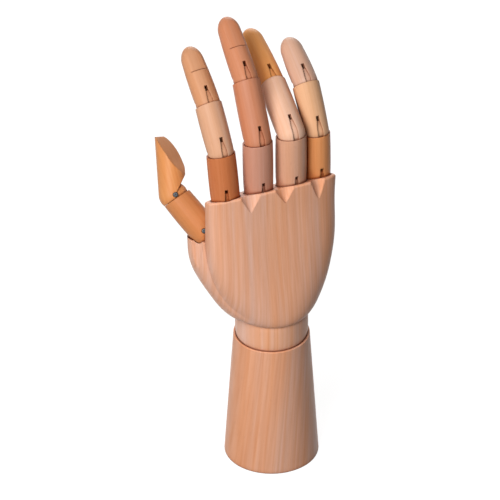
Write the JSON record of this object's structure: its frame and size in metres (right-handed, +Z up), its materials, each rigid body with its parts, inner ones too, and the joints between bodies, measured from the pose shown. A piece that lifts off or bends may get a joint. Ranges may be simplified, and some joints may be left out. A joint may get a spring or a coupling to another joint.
{
  "type": "articulated wooden hand mannequin",
  "caption": "Jointed wooden artist's hand on a turned forearm stand, with pinned fingers, thumb and wrist that bend and hold a pose.",
  "frame": {"origin": "centre of the forearm's foot, on the surface that it stands on", "axes": "+Z up along the forearm; the back of the hand faces -Y, the palm +Y and the thumb is at -X"},
  "size_m": [0.0999, 0.0965, 0.2846],
  "materials": {
    "pale_wood": "satin varnish",
    "orange_wood": "satin varnish",
    "rosy_wood": "satin varnish",
    "golden_wood": "satin varnish",
    "light_wood": "satin varnish",
    "steel": "bright"
  },
  "bodies": {
    "forearm_stand": {"forearm": "pale_wood"},
    "swivel": {"swivel_rod": "steel", "tension_spring": "steel", "rod_washer": "steel", "rod_nut": "steel"},
    "wrist": {"wrist_block": "pale_wood", "wrist_lower_pin": "steel", "wrist_upper_pin": "steel"},
    "hand": {"palm": "pale_wood", "palm_wrist_eye": "steel", "thumb_knuckle_eye": "steel", "index_knuckle_eye": "steel", "middle_knuckle_eye": "steel", "ring_knuckle_eye": "steel", "little_knuckle_eye": "steel"},
    "index_proximal_link": {"index_proximal": "rosy_wood", "index_knuckle_pin": "steel", "index_middle_eye": "steel"},
    "index_middle_link": {"index_middle": "golden_wood", "index_middle_pin": "steel", "index_tip_eye": "steel"},
    "index_distal_link": {"index_distal": "golden_wood", "index_tip_pin": "steel"},
    "middle_proximal_link": {"middle_proximal": "rosy_wood", "middle_knuckle_pin": "steel", "middle_middle_eye": "steel"},
    "middle_middle_link": {"middle_middle": "rosy_wood", "middle_middle_pin": "steel", "middle_tip_eye": "steel"},
    "middle_distal_link": {"middle_distal": "rosy_wood", "middle_tip_pin": "steel"},
    "ring_proximal_link": {"ring_proximal": "rosy_wood", "ring_knuckle_pin": "steel", "ring_middle_eye": "steel"},
    "ring_middle_link": {"ring_middle": "light_wood", "ring_middle_pin": "steel", "ring_tip_eye": "steel"},
    "ring_distal_link": {"ring_distal": "golden_wood", "ring_tip_pin": "steel"},
    "little_proximal_link": {"little_proximal": "golden_wood", "little_knuckle_pin": "steel", "little_middle_eye": "steel"},
    "little_middle_link": {"little_middle": "light_wood", "little_middle_pin": "steel", "little_tip_eye": "steel"},
    "little_distal_link": {"little_distal": "light_wood", "little_tip_pin": "steel"},
    "thumb_proximal_link": {"thumb_proximal": "orange_wood", "thumb_knuckle_pin": "steel", "thumb_tip_eye": "steel"},
    "thumb_distal_link": {"thumb_distal": "orange_wood", "thumb_tip_pin": "steel"}
  },
  "joints": [
    {"name": "forearm_swivel", "type": "hinge", "parent": "forearm_stand", "child": "swivel", "pos_m": [0, 0, 0.0904], "axis": [0, 0, 1], "range_deg": [-90, 90]},
    {"name": "wrist_bend", "type": "hinge", "parent": "swivel", "child": "wrist", "pos_m": [0, 0, 0.0904], "axis": [-1, 0, 0], "range_deg": [-12, 12]},
    {"name": "wrist_sway", "type": "hinge", "parent": "wrist", "child": "hand", "pos_m": [0, 0, 0.0985], "axis": [0, -1, 0], "range_deg": [-12, 12]},
    {"name": "index_knuckle_hinge", "type": "hinge", "parent": "hand", "child": "index_proximal_link", "pos_m": [-0.0299, 0, 0.1896], "axis": [-0.9986, 0, -0.0523], "range_deg": [-6, 64]},
    {"name": "index_middle_hinge", "type": "hinge", "parent": "index_proximal_link", "child": "index_middle_link", "pos_m": [-0.03163, 0.00347, 0.22257], "axis": [-0.9986, 0, -0.0523], "range_deg": [-28, 42]},
    {"name": "index_tip_hinge", "type": "hinge", "parent": "index_middle_link", "child": "index_distal_link", "pos_m": [-0.03294, 0.02041, 0.24766], "axis": [-0.9986, 0, -0.0523], "range_deg": [-18, 52]},
    {"name": "middle_knuckle_hinge", "type": "hinge", "parent": "hand", "child": "middle_proximal_link", "pos_m": [-0.0086, 0, 0.1896], "axis": [-1, 0, 0], "range_deg": [-2, 68]},
    {"name": "middle_middle_hinge", "type": "hinge", "parent": "middle_proximal_link", "child": "middle_middle_link", "pos_m": [-0.0086, 0.00128, 0.22638], "axis": [-1, 0, 0], "range_deg": [-28.5, 41.5]},
    {"name": "middle_tip_hinge", "type": "hinge", "parent": "middle_middle_link", "child": "middle_distal_link", "pos_m": [-0.0086, 0.02032, 0.25869], "axis": [-1, 0, 0], "range_deg": [-23.3, 46.7]},
    {"name": "ring_knuckle_hinge", "type": "hinge", "parent": "hand", "child": "ring_proximal_link", "pos_m": [0.0125, 0, 0.1896], "axis": [-1, 0, 0], "range_deg": [0, 70]},
    {"name": "ring_middle_hinge", "type": "hinge", "parent": "ring_proximal_link", "child": "ring_middle_link", "pos_m": [0.0125, 0, 0.2265], "axis": [-1, 0, 0], "range_deg": [-59, 11]},
    {"name": "ring_tip_hinge", "type": "hinge", "parent": "ring_middle_link", "child": "ring_distal_link", "pos_m": [0.0125, 0.02983, 0.24442], "axis": [-1, 0, 0], "range_deg": [-11, 59]},
    {"name": "little_knuckle_hinge", "type": "hinge", "parent": "hand", "child": "little_proximal_link", "pos_m": [0.0306, 0.003, 0.18807], "axis": [-0.9999, 0, -0.0105], "range_deg": [0, 70]},
    {"name": "little_middle_hinge", "type": "hinge", "parent": "little_proximal_link", "child": "little_middle_link", "pos_m": [0.03025, 0.003, 0.22187], "axis": [-0.9999, 0, -0.0105], "range_deg": [-35, 35]},
    {"name": "little_tip_hinge", "type": "hinge", "parent": "little_middle_link", "child": "little_distal_link", "pos_m": [0.02999, 0.02009, 0.24628], "axis": [-0.9999, 0, -0.0105], "range_deg": [-29, 41]},
    {"name": "thumb_knuckle_hinge", "type": "hinge", "parent": "hand", "child": "thumb_proximal_link", "pos_m": [-0.0382, 0.013, 0.1603], "axis": [-0.3142, -0.7586, 0.5707], "range_deg": [-20, 12]},
    {"name": "thumb_tip_hinge", "type": "hinge", "parent": "thumb_proximal_link", "child": "thumb_distal_link", "pos_m": [-0.0494, 0.03103, 0.1781], "axis": [-0.3142, -0.7586, 0.5707], "range_deg": [-35.5, 0]}
  ]
}
